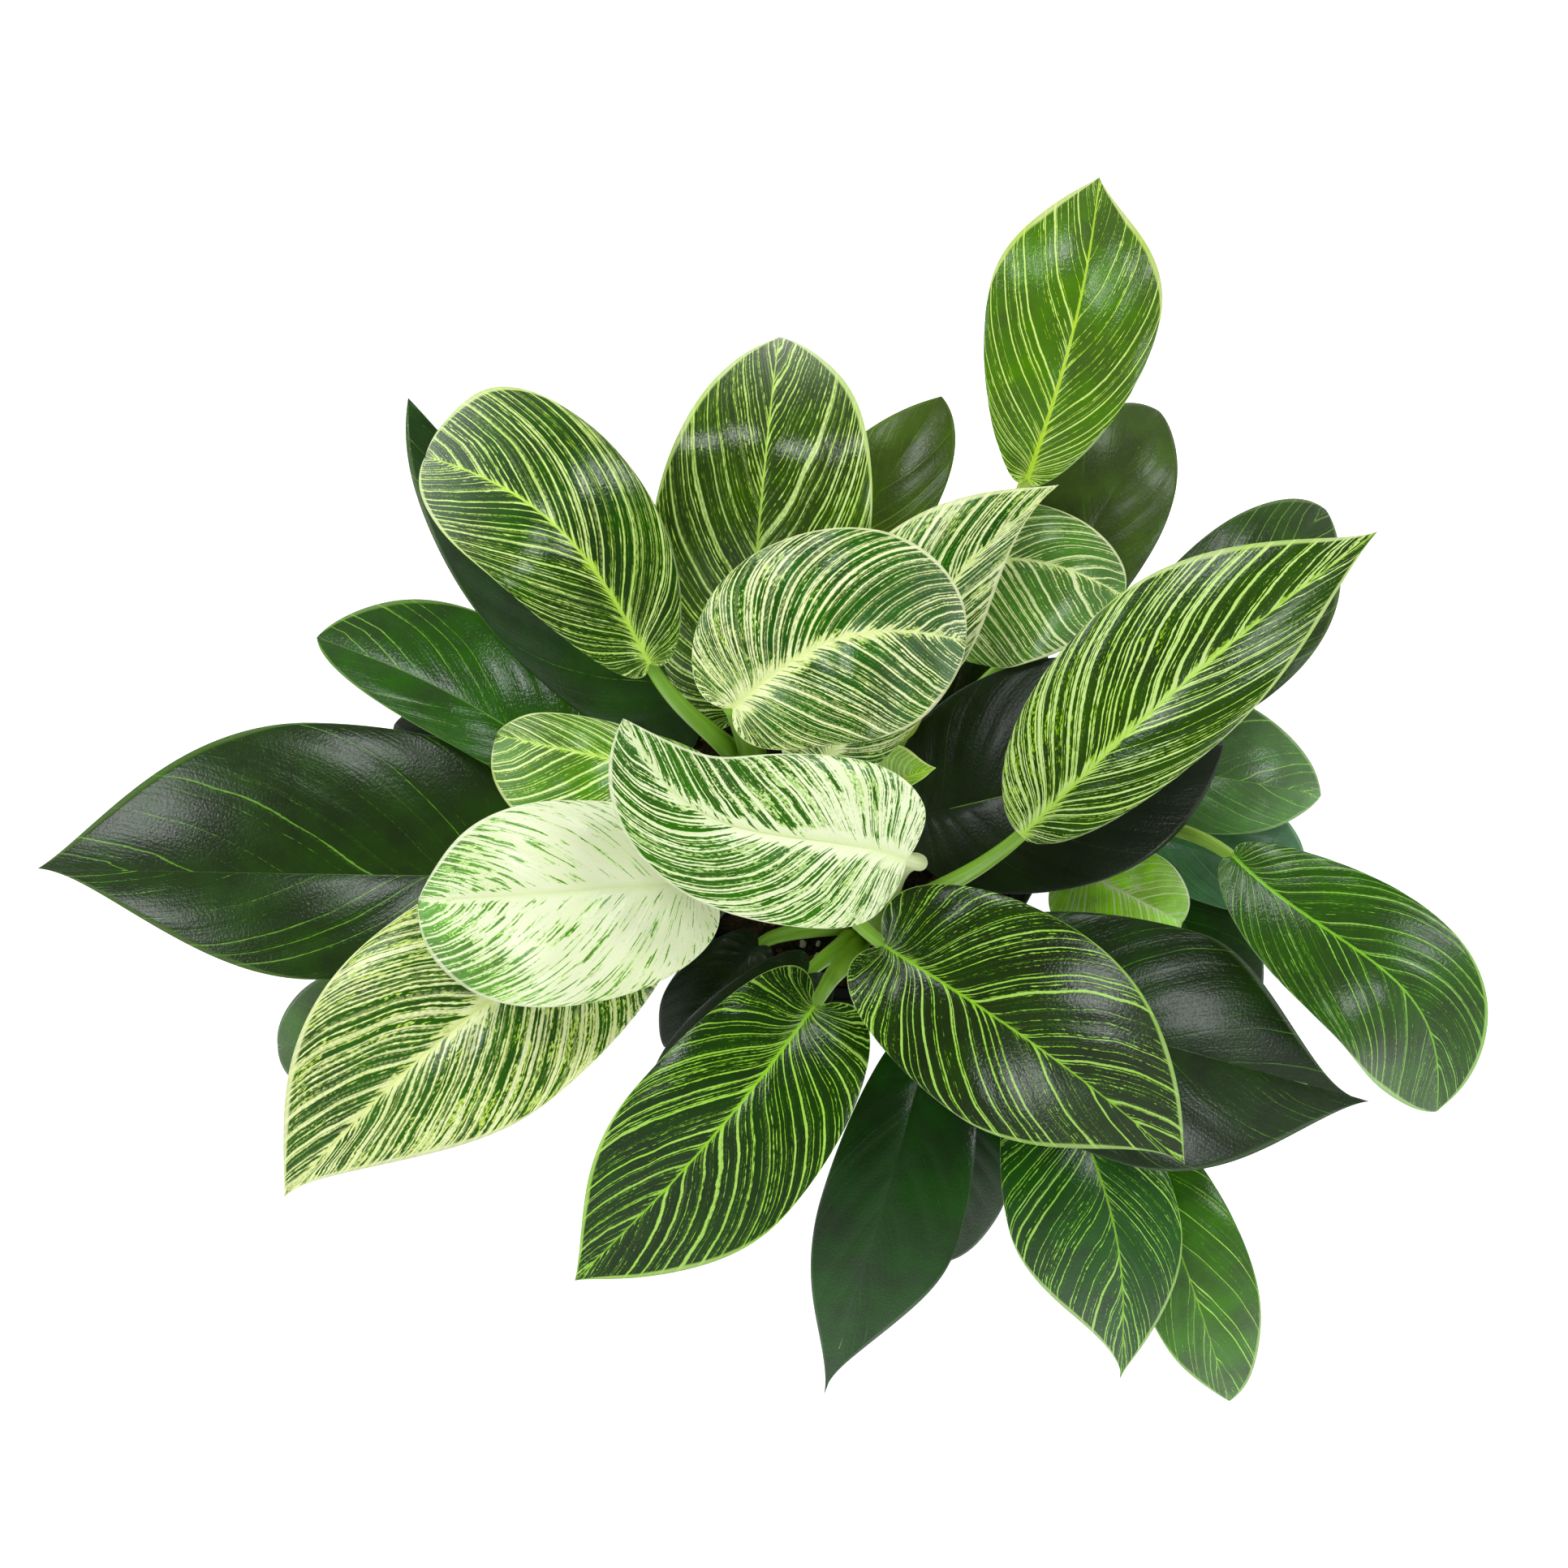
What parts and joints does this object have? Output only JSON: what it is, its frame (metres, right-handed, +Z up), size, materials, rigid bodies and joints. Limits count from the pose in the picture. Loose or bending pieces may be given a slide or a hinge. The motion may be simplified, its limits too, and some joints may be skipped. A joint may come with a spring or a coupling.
{
  "type": "potted plant",
  "caption": "Bushy variegated houseplant with striped green and cream heart-shaped leaves on long stalks, in a round black nursery pot.",
  "frame": {"origin": "middle of the pot's flat underside, on the surface it stands on", "axes": "+Z up; +Y is the top of the picture and +X its right"},
  "size_m": [0.5036, 0.421, 0.3304],
  "materials": {
    "leaf_green": "semi-gloss leaf, variegated in the visual model",
    "stem_green": "satin green stem",
    "potting_mix": "rough, loose",
    "pot_plastic": "matte moulded"
  },
  "bodies": {
    "root": {"leaf_01": "leaf_green", "leaf_02": "leaf_green", "leaf_03": "leaf_green", "leaf_04": "leaf_green", "leaf_05": "leaf_green", "leaf_06": "leaf_green", "leaf_07": "leaf_green", "leaf_08": "leaf_green", "leaf_09": "leaf_green", "leaf_10": "leaf_green", "leaf_11": "leaf_green", "leaf_12": "leaf_green", "leaf_13": "leaf_green", "leaf_14": "leaf_green", "leaf_15": "leaf_green", "leaf_16": "leaf_green", "leaf_17": "leaf_green", "leaf_18": "leaf_green", "leaf_19": "leaf_green", "leaf_20": "leaf_green", "leaf_21": "leaf_green", "leaf_22": "leaf_green", "leaf_23": "leaf_green", "leaf_24": "leaf_green", "leaf_25": "leaf_green", "leaf_26": "leaf_green", "leaf_27": "leaf_green", "leaf_28": "leaf_green", "leaf_29": "leaf_green", "leaf_30": "leaf_green", "leaf_31": "leaf_green", "leaf_32": "leaf_green", "leaf_33": "leaf_green", "leaf_34": "leaf_green", "leaf_35": "leaf_green", "leaf_36": "leaf_green", "stem_a": "stem_green", "stem_b": "stem_green", "stem_c": "stem_green", "soil": "potting_mix", "pot": "pot_plastic"}
  },
  "joints": []
}
